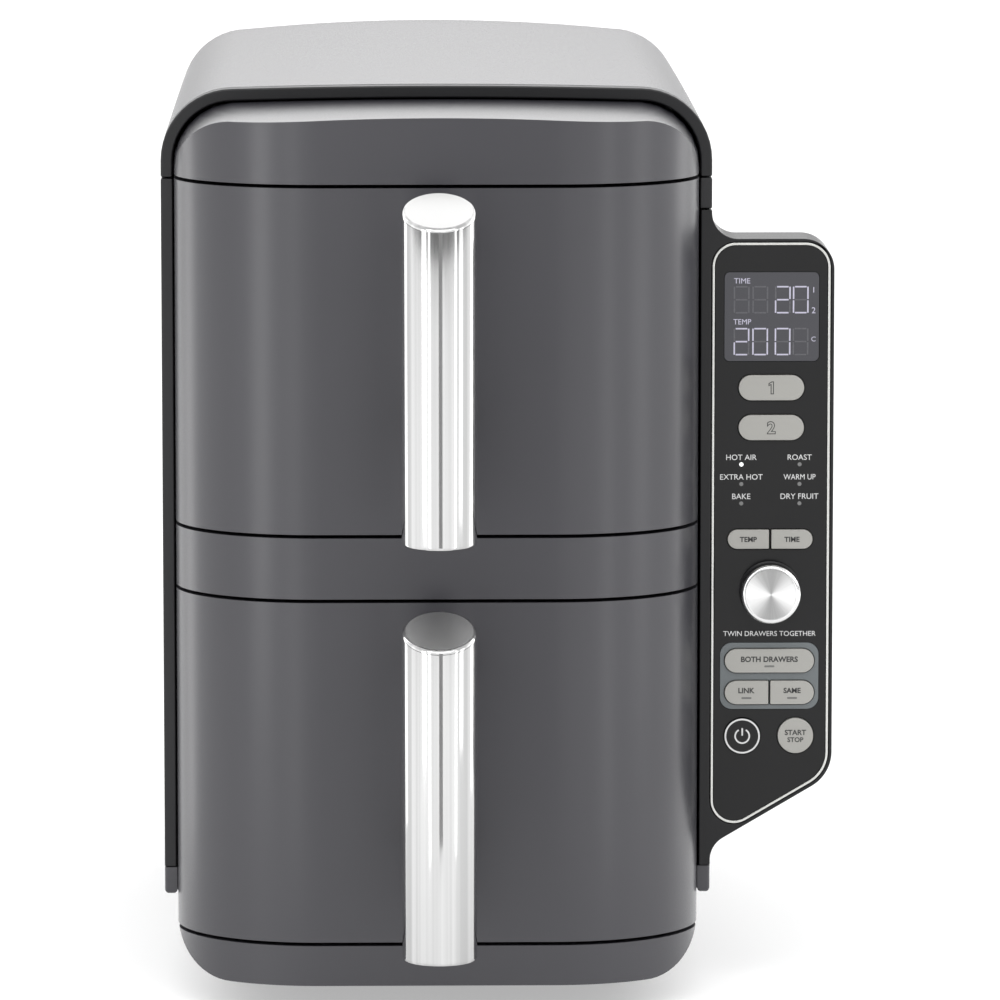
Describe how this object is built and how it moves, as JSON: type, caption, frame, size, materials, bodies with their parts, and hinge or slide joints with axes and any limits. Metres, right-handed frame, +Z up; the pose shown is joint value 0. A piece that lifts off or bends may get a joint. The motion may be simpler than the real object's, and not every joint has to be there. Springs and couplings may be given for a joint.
{
  "type": "air fryer",
  "caption": "Upright air fryer with stacked pull-out drawers behind a bowed front, bar handles, and a side control panel with a dial and push buttons.",
  "frame": {"origin": "on the worktop, under the middle of the bounding box", "axes": "+Z up, +Y towards the back of the appliance, +X towards the control panel"},
  "size_m": [0.281, 0.4714, 0.3858],
  "materials": {
    "grey_painted_metal": "satin",
    "grey_painted_plastic": "satin",
    "black_plastic": "fine texture",
    "gloss_black": "gloss",
    "handle_metal": "brushed and polished",
    "silver_trim": "satin",
    "steel_sheet": "mill",
    "heater_tube": "oxidised",
    "motor_metal": "cast",
    "non_stick_coat": "satin ceramic",
    "rubber": "matt",
    "pale_grey": "matt",
    "slate_grey": "matt",
    "display_glass": "gloss",
    "circuit_board": "satin"
  },
  "bodies": {
    "cabinet": {"top_cover": "grey_painted_metal", "front_rim": "black_plastic", "side_panel_left": "black_plastic", "side_panel_right": "black_plastic", "back_cover": "black_plastic", "base_tray": "grey_painted_plastic", "front_frame": "black_plastic", "top_fascia": "grey_painted_plastic", "middle_fascia": "grey_painted_plastic", "bottom_fascia": "grey_painted_plastic", "bay_divider": "steel_sheet", "power_board": "circuit_board", "cord_inlet": "rubber", "foot_front_left": "rubber", "foot_front_right": "rubber", "foot_rear_left": "rubber", "foot_rear_right": "rubber", "upper_cavity_liner": "steel_sheet", "upper_heating_element": "heater_tube", "upper_fan_guard": "steel_sheet", "upper_fan_motor": "motor_metal", "lower_cavity_liner": "steel_sheet", "lower_heating_element": "heater_tube", "lower_fan_guard": "steel_sheet", "lower_fan_motor": "motor_metal", "control_housing": "black_plastic", "control_trim": "silver_trim", "control_face": "gloss_black", "control_board": "circuit_board", "display_window": "display_glass", "backing_plate": "slate_grey", "dial_encoder": "motor_metal"},
    "upper_drawer": {"upper_drawer_front": "grey_painted_plastic", "upper_inner_panel": "black_plastic", "upper_basket": "non_stick_coat", "upper_handle_bar": "handle_metal", "upper_handle_mount": "black_plastic"},
    "lower_drawer": {"lower_drawer_front": "grey_painted_plastic", "lower_inner_panel": "black_plastic", "lower_basket": "non_stick_coat", "lower_handle_bar": "handle_metal", "lower_handle_mount": "black_plastic"},
    "upper_plate": {"upper_crisper_plate": "non_stick_coat"},
    "lower_plate": {"lower_crisper_plate": "non_stick_coat"},
    "upper_rotor": {"upper_fan": "steel_sheet", "upper_fan_shaft": "steel_sheet"},
    "lower_rotor": {"lower_fan": "steel_sheet", "lower_fan_shaft": "steel_sheet"},
    "dial": {"dial_knob": "silver_trim"},
    "zone_1": {"zone_1_button": "pale_grey"},
    "zone_2": {"zone_2_button": "pale_grey"},
    "temp": {"temp_button": "pale_grey"},
    "time": {"time_button": "pale_grey"},
    "both_drawers": {"both_drawers_button": "pale_grey"},
    "sync": {"sync_button": "pale_grey"},
    "match": {"match_button": "pale_grey"},
    "power": {"power_button": "gloss_black"},
    "start_stop": {"start_stop_button": "pale_grey"}
  },
  "joints": [
    {"name": "upper_drawer_slide", "type": "slide", "parent": "cabinet", "child": "upper_drawer", "axis": [0, -1, 0], "range_m": [0, 0.3]},
    {"name": "lower_drawer_slide", "type": "slide", "parent": "cabinet", "child": "lower_drawer", "axis": [0, -1, 0], "range_m": [0, 0.3]},
    {"name": "upper_plate_lift", "type": "slide", "parent": "upper_drawer", "child": "upper_plate", "axis": [0, 0, 1], "range_m": [0, 0.1]},
    {"name": "lower_plate_lift", "type": "slide", "parent": "lower_drawer", "child": "lower_plate", "axis": [0, 0, 1], "range_m": [0, 0.1]},
    {"name": "upper_fan_spin", "type": "hinge", "parent": "cabinet", "child": "upper_rotor", "pos_m": [-0.0256, 0.16365, 0.27325], "axis": [0, 1, 0], "continuous": true},
    {"name": "lower_fan_spin", "type": "hinge", "parent": "cabinet", "child": "lower_rotor", "pos_m": [-0.0256, 0.16365, 0.10185], "axis": [0, 1, 0], "continuous": true},
    {"name": "dial_turn", "type": "hinge", "parent": "cabinet", "child": "dial", "pos_m": [0.1141, -0.12535, 0.1699], "axis": [0, 1, 0], "continuous": true},
    {"name": "zone_1_press", "type": "slide", "parent": "cabinet", "child": "zone_1", "axis": [0, 1, 0], "range_m": [0, 0.0009], "stiffness_N_per_m": 900},
    {"name": "zone_2_press", "type": "slide", "parent": "cabinet", "child": "zone_2", "axis": [0, 1, 0], "range_m": [0, 0.0009], "stiffness_N_per_m": 900},
    {"name": "temp_press", "type": "slide", "parent": "cabinet", "child": "temp", "axis": [0, 1, 0], "range_m": [0, 0.0009], "stiffness_N_per_m": 900},
    {"name": "time_press", "type": "slide", "parent": "cabinet", "child": "time", "axis": [0, 1, 0], "range_m": [0, 0.0009], "stiffness_N_per_m": 900},
    {"name": "both_drawers_press", "type": "slide", "parent": "cabinet", "child": "both_drawers", "axis": [0, 1, 0], "range_m": [0, 0.0009], "stiffness_N_per_m": 900},
    {"name": "sync_press", "type": "slide", "parent": "cabinet", "child": "sync", "axis": [0, 1, 0], "range_m": [0, 0.0009], "stiffness_N_per_m": 900},
    {"name": "match_press", "type": "slide", "parent": "cabinet", "child": "match", "axis": [0, 1, 0], "range_m": [0, 0.0009], "stiffness_N_per_m": 900},
    {"name": "power_press", "type": "slide", "parent": "cabinet", "child": "power", "axis": [0, 1, 0], "range_m": [0, 0.0009], "stiffness_N_per_m": 900},
    {"name": "start_stop_press", "type": "slide", "parent": "cabinet", "child": "start_stop", "axis": [0, 1, 0], "range_m": [0, 0.0009], "stiffness_N_per_m": 900}
  ]
}
